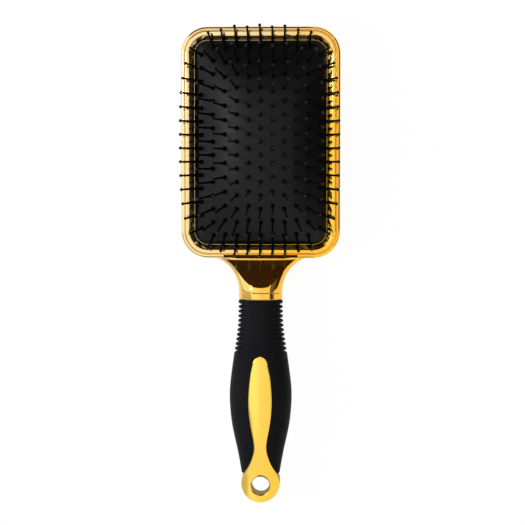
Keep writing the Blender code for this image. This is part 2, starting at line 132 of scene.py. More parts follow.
class Shader:
    """One node tree, with methods that add and link its nodes."""

    def __init__(self, tree: bpy.types.NodeTree) -> None:
        """Keeps a material's or a world's node tree."""
        self.tree = tree

    def add(
        self,
        kind: str,
        settings: dict[str, object] | None = None,
        inputs: dict[str | int, object] | None = None,
        output: str | int = 0,
    ) -> Value:
        """Adds a node.

        Args:
            kind: the node's type.
            settings: its own settings.
            inputs: values or links by socket name or number.
            output: the output to return.

        Returns:
            That output.
        """
        node = self.tree.nodes.new(kind)
        for name, setting in (settings or {}).items():
            setattr(node, name, setting)
        for name, value in (inputs or {}).items():
            self.feed(node.inputs[name], value)
        return Value(self, node.outputs[output])

    def feed(self, socket: bpy.types.NodeSocket, value: object) -> None:
        """Links a value to a socket, or sets the socket's own value.

        Args:
            socket: the input socket.
            value: a wrapped socket, a number, a vector or a colour.
        """
        if isinstance(value, Value):
            self.tree.links.new(value.socket, socket)
        elif isinstance(value, tuple) and socket.type == "RGBA":
            socket.default_value = (*value, 1.0)
        else:
            socket.default_value = value

    def noise(self, scale: float, detail: float = 2.0) -> Value:
        """Noise from 0 to 1 that is fixed to the piece, with so many bumps in a metre and finer layers."""
        place = self.add("ShaderNodeTexCoord", output="Object")
        return self.add("ShaderNodeTexNoise", None, {"Vector": place, "Scale": scale, "Detail": detail})

    def painted_light_drift(self, start: float, across: float, along: float) -> Value:
        """A value that changes evenly over the brush; the platings use it as painted light, paler to one
        side.

        Args:
            start: the value at the frame's origin.
            across: what it gains in a metre along X.
            along: what it gains in a metre along Y.

        Returns:
            The value.
        """
        place = self.add("ShaderNodeTexCoord", output="Object")
        x = self.add("ShaderNodeSeparateXYZ", None, {0: place}, output=0)
        y = self.add("ShaderNodeSeparateXYZ", None, {0: place}, output=1)
        return start + across * x + along * y

    def blend(self, share: Value, first: Colour, second: Colour) -> Value:
        """A colour from the first to the second, as the share goes from 0 to 1."""
        node_inputs = {0: share, 6: first, 7: second}
        return self.add("ShaderNodeMix", {"data_type": "RGBA"}, node_inputs, output=2)

    def bump(self, height: Value, depth: float, strength: float) -> Value:
        """A normal that follows a height from 0 to 1, which stands for a depth in metres."""
        node_inputs = {"Height": height, "Distance": depth, "Strength": strength}
        return self.add("ShaderNodeBump", None, node_inputs)


@dataclass(frozen=True)
class Finish:
    """A surface: colours, gloss and grain, with painted light from a drift that makes the colour paler to
    one side.
    """

    name: str
    light: Colour
    dark: Colour
    metallic: float
    roughness: tuple[float, float]
    specular: float
    cloud_scale: float
    grain_scale: float
    grain_depth: float
    grain_strength: float
    # painted light: the drift's start and its gain per metre along X and along Y, added to the share of the
    # dark colour
    painted_light_drift: Triple = (0.0, 0.0, 0.0)
    cloud_share: float = 1.0
    cloud_detail: float = 3.0
    grain_gloss: float = 0.3

    def make(self) -> bpy.types.Material:
        """Makes the material.

        Returns:
            The material.
        """
        made = bpy.data.materials.new(self.name)
        made.use_nodes = True
        shader = Shader(made.node_tree)
        surface = made.node_tree.nodes["Principled BSDF"]
        cloud = shader.noise(self.cloud_scale, self.cloud_detail)
        grain = shader.noise(self.grain_scale)
        low, high = self.roughness
        surface.inputs["Metallic"].default_value = self.metallic
        surface.inputs["Specular IOR Level"].default_value = self.specular
        # the share of the dark colour: random cloud plus the painted light drift
        share = self.cloud_share * cloud + shader.painted_light_drift(*self.painted_light_drift)
        shader.feed(surface.inputs["Base Color"], shader.blend(share, self.light, self.dark))
        gloss = (1 - self.grain_gloss) * cloud + self.grain_gloss * grain
        shader.feed(surface.inputs["Roughness"], low + (high - low) * gloss)
        shader.feed(surface.inputs["Normal"], shader.bump(grain, self.grain_depth, self.grain_strength))
        return made


GOLD_PLATE = Finish(
    name="bright gold plating",
    light=(0.90, 0.70, 0.36),
    dark=(0.97, 0.55, 0.06),
    metallic=1.0,
    roughness=(0.055, 0.115),
    specular=0.5,
    cloud_scale=45.0,
    grain_scale=260.0,
    grain_depth=0.00002,
    grain_strength=0.10,
    # painted light: paler, creamier plating on the left (-X), towards the lamps; deeper orange to the right
    # and towards the handle
    painted_light_drift=(0.32, 16.0, -5.0),
    cloud_share=0.2,
)
INLAY_PLATE = Finish(
    name="deep gold plating",
    light=(0.99, 0.75, 0.17),
    dark=(0.98, 0.58, 0.05),
    metallic=1.0,
    roughness=(0.11, 0.17),
    specular=0.5,
    cloud_scale=45.0,
    grain_scale=260.0,
    grain_depth=0.00002,
    grain_strength=0.10,
    # painted light: the inlay is paler on its left (-X), towards the lamps, and deeper gold on its right and
    # slightly towards the eye
    painted_light_drift=(0.02, 28.0, -2.8),
    cloud_share=0.2,
)
CUSHION_RUBBER = Finish(
    name="satin black rubber",
    light=(0.006, 0.006, 0.007),
    dark=(0.003, 0.003, 0.004),
    metallic=0.0,
    roughness=(0.30, 0.42),
    specular=0.22,
    cloud_scale=70.0,
    grain_scale=2600.0,
    grain_depth=0.00006,
    grain_strength=0.35,
)
GRIP_RUBBER = Finish(
    name="soft-touch black rubber",
    light=(0.007, 0.007, 0.008),
    dark=(0.004, 0.004, 0.005),
    metallic=0.0,
    roughness=(0.50, 0.66),
    specular=0.10,
    cloud_scale=60.0,
    grain_scale=3200.0,
    grain_depth=0.00008,
    grain_strength=0.4,
)
PIN_NYLON = Finish(
    name="black nylon",
    light=(0.006, 0.006, 0.007),
    dark=(0.003, 0.003, 0.004),
    metallic=0.0,
    roughness=(0.06, 0.11),
    specular=0.24,
    cloud_scale=160.0,
    grain_scale=1800.0,
    grain_depth=0.00003,
    grain_strength=0.15,
)


@dataclass(frozen=True)
class Curve:
    """A smooth curve through rows of (place, value)."""

    rows: tuple[tuple[float, float], ...]

    def _slope(self, i: int) -> float:
        """The slope at one row, from its neighbours."""
        low, high = max(i - 1, 0), min(i + 1, len(self.rows) - 1)
        return (self.rows[high][1] - self.rows[low][1]) / (self.rows[high][0] - self.rows[low][0])

    def at(self, place: float) -> float:
        """Reads the curve.

        Args:
            place: where, held between the first and the last row.

        Returns:
            The value there.
        """
        if place <= self.rows[0][0]:
            return self.rows[0][1]
        if place >= self.rows[-1][0]:
            return self.rows[-1][1]
        k = max(i for i in range(len(self.rows) - 1) if self.rows[i][0] <= place)
        span = self.rows[k + 1][0] - self.rows[k][0]
        t = (place - self.rows[k][0]) / span
        rise = self.rows[k + 1][1] - self.rows[k][1]
        first, last = self._slope(k) * span, self._slope(k + 1) * span
        bend = 3 * rise - 2 * first - last + t * (first + last - 2 * rise)
        return self.rows[k][1] + t * (first + t * bend)


class Workshop:
    """Makes, merges and finishes closed meshes."""

    @staticmethod
    def skin(shape: bmesh.types.BMesh, rings: Sequence[Ring], closed: bool = False) -> None:
        """Adds faces between rings of equal length.

        Args:
            shape: the mesh to add to.
            rings: the rings, in order.
            closed: whether the last ring meets the first, in place of end caps.
        """
        loops = [[shape.verts.new(point) for point in ring] for ring in rings]
        pairs = list(zip(loops, loops[1:]))
        if closed:
            pairs.append((loops[-1], loops[0]))
        for first, second in pairs:
            for i in range(len(first)):
                shape.faces.new((first[i - 1], first[i], second[i], second[i - 1]))
        if not closed:
            shape.faces.new(loops[0])
            shape.faces.new(loops[-1])

    @staticmethod
    def settle(name: str, shape: bmesh.types.BMesh) -> bpy.types.Object:
        """Turns a filled mesh into an object of the scene.

        Args:
            name: the object's name.
            shape: the mesh, which is used up.

        Returns:
            The object, with its faces pointing out.
        """
        bmesh.ops.recalc_face_normals(shape, faces=shape.faces)
        mesh = bpy.data.meshes.new(name)
        shape.to_mesh(mesh)
        shape.free()
        made = bpy.data.objects.new(name, mesh)
        bpy.context.scene.collection.objects.link(made)
        return made

    @classmethod
    def loft(cls, name: str, *tubes: Sequence[Ring], closed: bool = False) -> bpy.types.Object:
        """Makes an object from one or more rows of rings.

        Args:
            name: the object's name.
            tubes: rows of rings, in order.
            closed: whether the last ring of a row meets its first.

        Returns:
            The object.
        """
        shape = bmesh.new()
        for rings in tubes:
            cls.skin(shape, rings, closed)
        return cls.settle(name, shape)

    @classmethod
    def card(cls, name: str, corners: Sequence[Vector | Triple]) -> bpy.types.Object:
        """Makes an object of one face.

        Args:
            name: the object's name.
            corners: the face's corners, in order.

        Returns:
            The object.
        """
        shape = bmesh.new()
        shape.faces.new([shape.verts.new(corner) for corner in corners])
        return cls.settle(name, shape)

    @staticmethod
    def bake(made: bpy.types.Object) -> None:
        """Puts an object's modifiers into its mesh.

        Args:
            made: the object.
        """
        evaluated = made.evaluated_get(bpy.context.evaluated_depsgraph_get())
        mesh = bpy.data.meshes.new_from_object(evaluated)
        made.modifiers.clear()
        old = made.data
        made.data = mesh
        bpy.data.meshes.remove(old)

    @classmethod
    def merge(cls, target: bpy.types.Object, way: Merge, tool: bpy.types.Object) -> None:
        """Changes one closed mesh by another, which is used up.

        Args:
            target: the object that stays.
            way: what is done to it.
            tool: the object that is used up.
        """
        step = target.modifiers.new(way.name, "BOOLEAN")
        step.operation = way.value
        step.solver = "EXACT"
        step.object = tool
        cls.bake(target)
        bpy.data.objects.remove(tool)

    @classmethod
    def dress(cls, made: bpy.types.Object, paint: bpy.types.Material, crease: float = CREASE) -> None:
        """Shades an object smooth between its creases and gives it a material.

        Args:
            made: the object.
            paint: the material.
            crease: the angle from which an edge stays sharp.
        """
        made.data.materials.clear()
        made.data.materials.append(paint)
        made.data.shade_smooth()
        made.data.set_sharp_from_angle(angle=crease)
        weighted = made.modifiers.new("even shading", "WEIGHTED_NORMAL")
        weighted.keep_sharp = True
        cls.bake(made)

    @staticmethod
    def enrol(made: bpy.types.Object, body: Body, slot: Slot, node: str) -> None:
        """Puts a finished piece on its body, in place of what it stands for.

        Args:
            made: the piece.
            body: the body that it moves with.
            slot: the record's material slot that the piece stands for; not used.
            node: the solid that it stands for.
        """
        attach(made, body.value)
        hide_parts(node)
        LOG.info("%s: %d faces, rides on %s", made.name, len(made.data.polygons), body.value)


def quarter_turn(steps: int) -> list[float]:
    """Angles from 0 to a right angle, in even steps."""
    return [math.pi / 2 * i / steps for i in range(steps + 1)]


def full_turn(count: int) -> list[float]:
    """So many even angles around a circle."""
    return [2 * math.pi * i / count for i in range(count)]


def ease(share: float) -> float:
    """A share from 0 to 1 that starts and ends gently."""
    return share * share * (3 - 2 * share)


def bar_ends(width: float, depth: float, height: float, places: tuple[float, float]) -> list[Ring]:
    """The two ends of a square-edged bar along the brush, at a height."""
    return [[Vector((x * width / 2, y, height + z * depth / 2)) for x, z in SQUARE] for y in places]


def oval(y: float, half_width: float, half_depth: float, height: float, fullness: float, count: int) -> Ring:
    """A superellipse across the handle.

    Args:
        y: its place along the brush.
        half_width: half its width.
        half_depth: half its depth.
        height: the height of its middle.
        fullness: its exponent, 2 for an ellipse.
        count: its points.

    Returns:
        The ring.
    """
    ring = []
    for turn in full_turn(count):
        c, s = math.cos(turn), math.sin(turn)
        reach = (abs(c) ** fullness + abs(s) ** fullness) ** (-1 / fullness)
        ring.append(Vector((half_width * c * reach, y, height + half_depth * s * reach)))
    return ring


@dataclass(frozen=True)
class HeadForm:
    """The rounded rectangle that the tray, the frame and the cushion share."""

    width: float = 0.0838
    length: float = 0.1213
    corner: float = 0.0142
    least_corner_share: float = 0.125
    corner_steps: int = 14
    long_steps: int = 36
    short_steps: int = 26

    @property
    def end(self) -> float:
        """Where the head ends towards the handle."""
        return -self.length / 2

    def outline(self, inset: float) -> list[Vector]:
        """The outline drawn in by an inset.

        Args:
            inset: how far.

        Returns:
            Points in the plane.
        """
        half = Vector((self.width / 2 - inset, self.length / 2 - inset))
        radius = max(self.corner - inset, min(half) * self.least_corner_share)
        arcs = []
        for corner, (sx, sy) in enumerate(((1, 1), (-1, 1), (-1, -1), (1, -1))):
            centre = Vector((sx * (half.x - radius), sy * (half.y - radius)))
            turns = [math.pi / 2 * (corner + i / self.corner_steps) for i in range(self.corner_steps + 1)]
            arcs.append([centre + radius * Vector((math.cos(a), math.sin(a))) for a in turns])
        points = []
        for corner, arc in enumerate(arcs):
            steps = self.short_steps if corner % 2 else self.long_steps
            start = arcs[corner - 1][-1]
            points += [start.lerp(arc[0], i / steps) for i in range(steps)]
            points += arc[:-1]
        return points

    def ring(self, inset: float, height: float) -> Ring:
        """The outline drawn in by an inset, at one height."""
        return [Vector((p.x, p.y, height)) for p in self.outline(inset)]


@dataclass(frozen=True)
class NeckForm:
    """The neck that flares from the ferrule to the head, with a scoop in its front."""

    length: float = 0.0180
    half_width: float = 0.0115
    half_depth: float = 0.0076
    flare: float = 0.0172
    turn: float = math.radians(78)
    root_low: float = 0.0014
    root_drop: float = 0.0002
    root_depth: float = 0.0090
    seam_fullness: float = 2.3
    root_fullness: float = 3.6
    stations: int = 44
    points: int = 96
    scoop_floor: Curve = Curve((
        (0.0007, 0.01205),
        (0.0030, 0.01260),
        (0.0045, 0.01297),
        (0.0063, 0.01350),
        (0.0078, 0.01410),
        (0.0093, 0.01485),
        (0.0110, 0.01590),
        (0.0126, 0.01700),
        (0.0138, 0.01785),
        (0.0148, 0.01840),
        (0.0155, 0.01870),
    ))
    scoop_half_widths: Curve = Curve((
        (0.0007, 0.0186),
        (0.0037, 0.0149),
        (0.0057, 0.0132),
        (0.0086, 0.0110),
        (0.0110, 0.0090),
        (0.0129, 0.0072),
        (0.0142, 0.0056),
        (0.0149, 0.0041),
        (0.0153, 0.0026),
        (0.0155, 0.0004),
    ))
    scoop_steps: int = 48
    scoop_top: float = 0.040


@dataclass
class PaddleTray:
    """The plated paddle: curved back, rim, seat for the cushion, neck and tang."""

    form: HeadForm
    neck: NeckForm
    handle_height: float
    depth: float = 0.0136
    back_curve: float = 0.0100
    side_rise: float = 0.0085
    rim_round: float = 0.0012
    rim_lip: float = 0.0020
    lip_edge: float = 0.0003
    slope_start: float = -0.0003
    slope_step: float = 0.00015
    slope_fall: float = 0.00075
    slope_half_width: float = 0.0195
    back_wall: float = 0.0024
    seat_height: float = 0.0080
    seat_width: float = 0.0062
    tang: Triple = (0.0110, 0.0070, 0.0280)
    tang_root_share: float = 0.25
    back_steps: int = 16
    rim_steps: int = 8

    @property
    def seam(self) -> float:
        """Where the neck meets the ferrule."""
        return self.form.end - self.neck.length

    def block(self) -> bpy.types.Object:
        """Makes the head's outer form, without its recess.

        Returns:
            The block.
        """
        rings = []
        for turn in quarter_turn(self.back_steps):
            inset = self.back_curve * (1 - math.sin(turn))
            rings.append(self.form.ring(inset, self.side_rise * (1 - math.cos(turn))))
        for turn in quarter_turn(self.rim_steps):
            inset = self.rim_round * (1 - math.cos(turn))
            rings.append(self.form.ring(inset, self.depth - self.rim_round * (1 - math.sin(turn))))
        return Workshop.loft("head_tray", rings)

    def recess(self) -> bpy.types.Object:
        """Makes the space that is taken out of the block.

        Returns:
            The cutter.
        """
        inner = self.rim_lip + self.seat_width
        profile = (
            (inner, self.back_wall),
            (inner, self.seat_height),
            (self.rim_lip, self.seat_height),
            (self.rim_lip, self.depth - self.lip_edge),
            (self.rim_lip - self.lip_edge, self.depth),
            (self.rim_lip - self.lip_edge, self.depth + OVERRUN),
        )
        return Workshop.loft("recess", [self.form.ring(inset, height) for inset, height in profile])

    def neck_body(self) -> bpy.types.Object:
        """Makes the neck with the scoop in its front.

        Returns:
            The neck.
        """
        neck = self.neck
        root_top = self.depth - neck.root_drop
        root_height = (root_top + neck.root_low) / 2
        root_half_depth = (root_top - neck.root_low) / 2
        rings = []
        for i in range(neck.stations + 1):
            turn = neck.turn * i / neck.stations
            sweep = math.sin(turn) / math.sin(neck.turn)
            grown = ease(sweep)
            half_width = neck.half_width + neck.flare * (1 - math.cos(turn))
            half_depth = neck.half_depth + (root_half_depth - neck.half_depth) * grown
            height = self.handle_height + (root_height - self.handle_height) * grown
            fullness = neck.seam_fullness + (neck.root_fullness - neck.seam_fullness) * grown
            y = self.seam + neck.length * sweep
            rings.append(oval(y, half_width, half_depth, height, fullness, neck.points))
        rings.append([Vector((p.x, self.form.end + neck.root_depth, p.z)) for p in rings[-1]])
        body = Workshop.loft("neck", rings)
        Workshop.merge(body, Merge.REMOVE, self.scoop())
        return body

    def scoop(self) -> bpy.types.Object:
        """Makes the cutter that leaves the sloping face on the front of the neck.

        Returns:
            The cutter.
        """
        neck = self.neck
        start, end = neck.scoop_floor.rows[0][0], neck.scoop_floor.rows[-1][0]
        rings = []
        for i in range(neck.scoop_steps + 1):
            drop = start + (end - start) * i / neck.scoop_steps
            side, low = neck.scoop_half_widths.at(drop), neck.scoop_floor.at(drop)
            corners = ((-side, low), (side, low), (side, neck.scoop_top), (-side, neck.scoop_top))
            rings.append([Vector((x, self.form.end - drop, z)) for x, z in corners])
        return Workshop.loft("scoop", rings)

    def lip_slope(self) -> bpy.types.Object:
        """Makes the cutter that slopes the rim's lip towards the frame beside the neck.

        Returns:
            The cutter.
        """
        start, end = self.form.end + self.slope_start, self.form.end + self.rim_lip
        top = self.depth + OVERRUN
        high = self.depth - self.neck.root_drop - self.slope_step
        profile = ((start, high), (end, high - self.slope_fall), (end, top), (start, top))
        sides = (-self.slope_half_width, self.slope_half_width)
        return Workshop.loft("lip_slope", [[Vector((x, y, z)) for y, z in profile] for x in sides])

    def tang_bar(self) -> bpy.types.Object:
        """Makes the tang that is glued into the handle.

        Returns:
            The tang.
        """
        width, depth, length = self.tang
        places = (self.seam + self.neck.length * self.tang_root_share, self.seam - length)
        return Workshop.loft("tang", bar_ends(width, depth, self.handle_height, places))

    def build(self, paint: bpy.types.Material) -> None:
        """Builds the tray.

        Args:
            paint: its material.
        """
        tray = self.block()
        Workshop.merge(tray, Merge.JOIN, self.neck_body())
        Workshop.merge(tray, Merge.JOIN, self.tang_bar())
        Workshop.merge(tray, Merge.REMOVE, self.lip_slope())
        Workshop.merge(tray, Merge.REMOVE, self.recess())
        Workshop.dress(tray, paint)
        Workshop.enrol(tray, Body.PADDLE, Slot.GOLD, "head_shell")


@dataclass
class FrontFrame:
    """The polished frame that clamps the cushion: a crest, a sloping wall and a fine foot."""

    form: HeadForm
    outer: float = 0.0023
    bottom: float = 0.0083
    top: float = 0.0141
    edge: float = 0.0005
    crest: float = 0.0013
    wall_foot: float = 0.0070
    wall_slope: float = 0.38
    wall_hollow: float = 0.42
    foot: float = 0.0074
    foot_drop: float = 0.0003
    clamp_height: float = 0.0096
    clamp_inset: float = 0.0053
    edge_steps: int = 4
    wall_steps: int = 8

    def profile(self) -> list[tuple[float, float]]:
        """The frame's section, as inset and height.

        Returns:
            Its points in order.
        """
        points = [(self.outer, self.bottom)]
        for turn in quarter_turn(self.edge_steps):
            inset = self.outer + self.edge * (1 - math.cos(turn))
            points.append((inset, self.top - self.edge * (1 - math.sin(turn))))
        crest_end = self.outer + self.edge + self.crest
        wall_width = self.wall_foot - crest_end
        for i in range(self.wall_steps + 1):
            share = i / self.wall_steps
            drop = wall_width * (self.wall_slope * share + self.wall_hollow * share * share)
            points.append((crest_end + wall_width * share, self.top - drop))
        wall_low = points[-1][1]
        points += [
            (self.foot - self.foot_drop, wall_low),
            (self.foot, wall_low - self.foot_drop),
            (self.foot, self.clamp_height),
            (self.clamp_inset, self.clamp_height),
            (self.clamp_inset, self.bottom),
        ]
        return points

    def build(self, paint: bpy.types.Material) -> None:
        """Builds the frame.

        Args:
            paint: its material.
        """
        rings = [self.form.ring(inset, height) for inset, height in self.profile()]
        frame = Workshop.loft("front_frame", rings, closed=True)
        Workshop.dress(frame, paint)
        Workshop.enrol(frame, Body.PADDLE, Slot.GOLD, "front_bezel")


@dataclass(frozen=True)
class CushionForm:
    """The crown of the air cushion, which also sets how the pins lean."""

    half_width: float = 0.0345
    half_length: float = 0.05325
    base: float = 0.0093
    crown: float = 0.0087
    power_across: float = 2.5
    power_along: float = 3.4
    splay_across: tuple[float, float] = (1.24, 1.21)
    splay_along: float = 1.52
    slope_step: float = 0.0002

    def height(self, x: float, y: float) -> float:
        """How far the cushion stands above its flange.

        Args:
            x: place across.
            y: place along.

        Returns:
            The height.
        """
        across = 1 - min(abs(x) / self.half_width, 1) ** self.power_across
        along = 1 - min(abs(y) / self.half_length, 1) ** self.power_along
        return self.crown * across * along

    def point(self, x: float, y: float) -> Vector:
        """The point on the cushion's top over a place in the plane."""
        return Vector((x, y, self.base + self.height(x, y)))

    def lean(self, x: float, y: float) -> Vector:
        """The way a pin leans there.

        Args:
            x: place across.
            y: place along.

        Returns:
            A unit vector.
        """
        step = self.slope_step
        slope_x = (self.height(x + step, y) - self.height(x - step, y)) / (2 * step)
        slope_y = (self.height(x, y + step) - self.height(x, y - step)) / (2 * step)
        left, right = self.splay_across
        splay = right if x > 0 else left
        return Vector((-splay * slope_x, -self.splay_along * slope_y, 1)).normalized()


@dataclass
class AirCushion:
    """The crowned rubber skin that the pins stand in."""

    form: HeadForm
    crown: CushionForm
    edge_inset: float = 0.0074
    flange_inset: float = 0.0056
    flange_bottom: float = 0.0083
    recess_inset: float = 0.0085
    skin: float = 0.0020
    rings: int = 46
    last_inset: float = 0.0412
    press_keep: float = 0.655
    fill: float = 0.9

    def sheet(self, start: float, drop: float) -> list[Ring]:
        """Rings of the crowned surface, from its edge to its middle.

        Args:
            start: the inset of the first ring.
            drop: how far the sheet lies below the crown.

        Returns:
            The rings.
        """
        found = []
        for i in range(self.rings + 1):
            share = i / self.rings
            inset = start + (self.last_inset - start) * share
            found.append([
                Vector((p.x, p.y, self.crown.point(p.x, p.y).z - drop)) for p in self.form.outline(inset)
            ])
        return found

    def build(self, paint: bpy.types.Material) -> None:
        """Builds the cushion.

        Args:
            paint: its material.
        """
        base = self.crown.base
        upper = self.sheet(self.edge_inset, 0.0)
        lower = self.sheet(self.recess_inset, self.skin)
        flange = [
            self.form.ring(self.recess_inset, self.flange_bottom),
            self.form.ring(self.flange_inset, self.flange_bottom),
            self.form.ring(self.flange_inset, base),
        ]
        skin = Workshop.loft("cushion_skin", lower[::-1] + flange + upper)
        Workshop.dress(skin, paint)
        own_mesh(skin)
        Workshop.enrol(skin, Body.PADDLE, Slot.CUSHION, "cushion_pad")


@dataclass
class PinField:
    """Eleven columns of ball-tipped pins, each on its own strip under the cushion."""

    crown: CushionForm
    columns: int = 11
    pitch: float = 0.00625
    odd_count: int = 14
    even_count: int = 15
    field_lengths: tuple[float, ...] = (0.0913, 0.0987, 0.0973, 0.0987, 0.0973, 0.0987)
    field_middle: float = 0.0005
    length: float = 0.0185
    ball: float = 0.00085
    neck: float = 0.00050
    tip_share: float = 2 / 3
    stem: tuple[tuple[float, float], ...] = (
        (-0.0031, 0.00085),
        (-0.0004, 0.00128),
        (0.0002, 0.00132),
        (0.0007, 0.00120),
        (0.0013, 0.00102),
        (0.0021, 0.00086),
        (0.0032, 0.00074),
        (0.0060, 0.00064),
        (0.0110, 0.00056),
    )
    sides: int = 14
    ball_steps: int = 9
    strip_width: float = 0.0030
    strip_thick: float = 0.0010
    strip_drop: float = 0.0026
    strip_end: float = 0.0012
    strip_stations: int = 33
    crease: float = math.radians(50)

    def profile(self) -> list[tuple[float, float]]:
        """A pin's outline, as distance along it and radius.

        Returns:
            Its points in order.
        """
        centre = self.length - self.ball
        start = math.asin(self.neck / self.ball)
        end = math.pi - self.tip_share * start
        points = list(self.stem)
        for i in range(self.ball_steps + 1):
            turn = start + (end - start) * i / self.ball_steps
            points.append((centre - self.ball * math.cos(turn), self.ball * math.sin(turn)))
        return points

    def pin(self, x: float, y: float) -> list[Ring]:
        """Rings of one pin.

        Args:
            x: place across.
            y: place along.

        Returns:
            The rings.
        """
        lean = self.crown.lean(x, y)
        side = lean.cross(Vector((0, 1, 0))).normalized()
        front = lean.cross(side)
        foot = self.crown.point(x, y)
        turns = full_turn(self.sides)
        return [
            [foot + reach * lean + radius * (math.cos(a) * side + math.sin(a) * front) for a in turns]
            for reach, radius in self.profile()
        ]

    def strip(self, x: float, length: float) -> list[Ring]:
        """Rings of the strip that a column stands on.

        Args:
            x: place across.
            length: the length that its pins span.

        Returns:
            The rings.
        """
        found = []
        reach = length / 2 + self.strip_end
        for i in range(self.strip_stations):
            y = self.field_middle + reach * (2 * i / (self.strip_stations - 1) - 1)
            lean = self.crown.lean(x, y)
            up = Vector((lean.x, 0, lean.z)).normalized()
            side = Vector((up.z, 0, -up.x)) * self.strip_width / 2
            top = self.crown.point(x, y) - self.strip_drop * lean
            bottom = top - self.strip_thick * lean
            found.append([bottom - side, bottom + side, top + side, top - side])
        return found

    def build(self, paint: bpy.types.Material) -> None:
        """Builds the columns.

        Args:
            paint: their material.
        """
        for i in range(self.columns):
            x = (i - (self.columns - 1) / 2) * self.pitch
            length = self.field_lengths[min(i, self.columns - 1 - i)]
            count = self.even_count if i % 2 else self.odd_count
            places = [self.field_middle + length * (k / (count - 1) - 0.5) for k in range(count)]
            column = Workshop.loft(f"pin_column_{i + 1:02d}", self.strip(x, length))
            pins = Workshop.loft("pins", *[self.pin(x, y) for y in places])
            Workshop.merge(column, Merge.JOIN, pins)
            Workshop.dress(column, paint, self.crease)
            Workshop.enrol(column, Body.PIN_BED, Slot.NYLON, f"pin_strip_{i + 1:02d}")


@dataclass(frozen=True)
class HandleForm:
    """The grip's place, and its half width and half depth by distance from its top."""

    seam: float
    ferrule_room: float = 0.0042
    height: float = 0.0114
    length: float = 0.0928
    fullness: float = 2.3
    points: int = 96
    tube_steps: int = 24
    tube_points: int = 48
    half_widths: Curve = Curve((
        (0.0000, 0.0117),
        (0.0130, 0.0121),
        (0.0278, 0.0140),
        (0.0450, 0.0162),
        (0.0540, 0.0164),
        (0.0662, 0.0152),
        (0.0820, 0.0119),
        (0.0928, 0.0100),
    ))
    half_depths: Curve = Curve((
        (0.0000, 0.0084),
        (0.0278, 0.0095),
        (0.0530, 0.0110),
        (0.0780, 0.0090),
        (0.0928, 0.0062),
    ))

    @property
    def top(self) -> float:
        """Where the grip starts, below the ferrule."""
        return self.seam - self.ferrule_room

    def tube(self, name: str, start: float, end: float, wall: float) -> bpy.types.Object:
        """Makes a length of the grip's form, drawn in by a wall.

        Args:
            name: the object's name.
            start: its start, as a distance from the grip's top.
            end: its end, as a distance from the grip's top.
            wall: how far it is drawn in.

        Returns:
            The object.
        """
        rings = []
        for i in range(self.tube_steps + 1):
            drop = start + (end - start) * i / self.tube_steps
            half_width, half_depth = self.half_widths.at(drop) - wall, self.half_depths.at(drop) - wall
            y = self.top - drop
            rings.append(oval(y, half_width, half_depth, self.height, self.fullness, self.tube_points))
        return Workshop.loft(name, rings)


@dataclass
class NeckFerrule:
    """The bright ring between the neck and the grip."""

    seam: float
    height: float
    half_width: float = 0.0115
    half_depth: float = 0.0076
    fullness: float = 2.3
    bore: tuple[float, float] = (0.0058, 0.0038)
    bore_fullness: float = 4.0
    gap: float = 0.0003
    length: float = 0.0036
    edge: float = 0.0004
    edge_steps: int = 4
    points: int = 96

    def build(self, paint: bpy.types.Material) -> None:
        """Builds the ring.

        Args:
            paint: its material.
        """
        top = self.seam - self.gap
        bottom = top - self.length
        stations = [
            (top - self.edge * (1 - math.sin(turn)), self.edge * (1 - math.cos(turn)))
            for turn in reversed(quarter_turn(self.edge_steps))
        ]
        stations += [(top + bottom - y, inset) for y, inset in reversed(stations)]
        rings = []
        for y, inset in stations:
            half_width, half_depth = self.half_width - inset, self.half_depth - inset
            rings.append(oval(y, half_width, half_depth, self.height, self.fullness, self.points))
        for y in (bottom, top):
            rings.append(oval(y, *self.bore, self.height, self.bore_fullness, self.points))
        ring = Workshop.loft("neck_ring", rings, closed=True)
        Workshop.dress(ring, paint)
        Workshop.enrol(ring, Body.PADDLE, Slot.GOLD, "neck_ferrule")


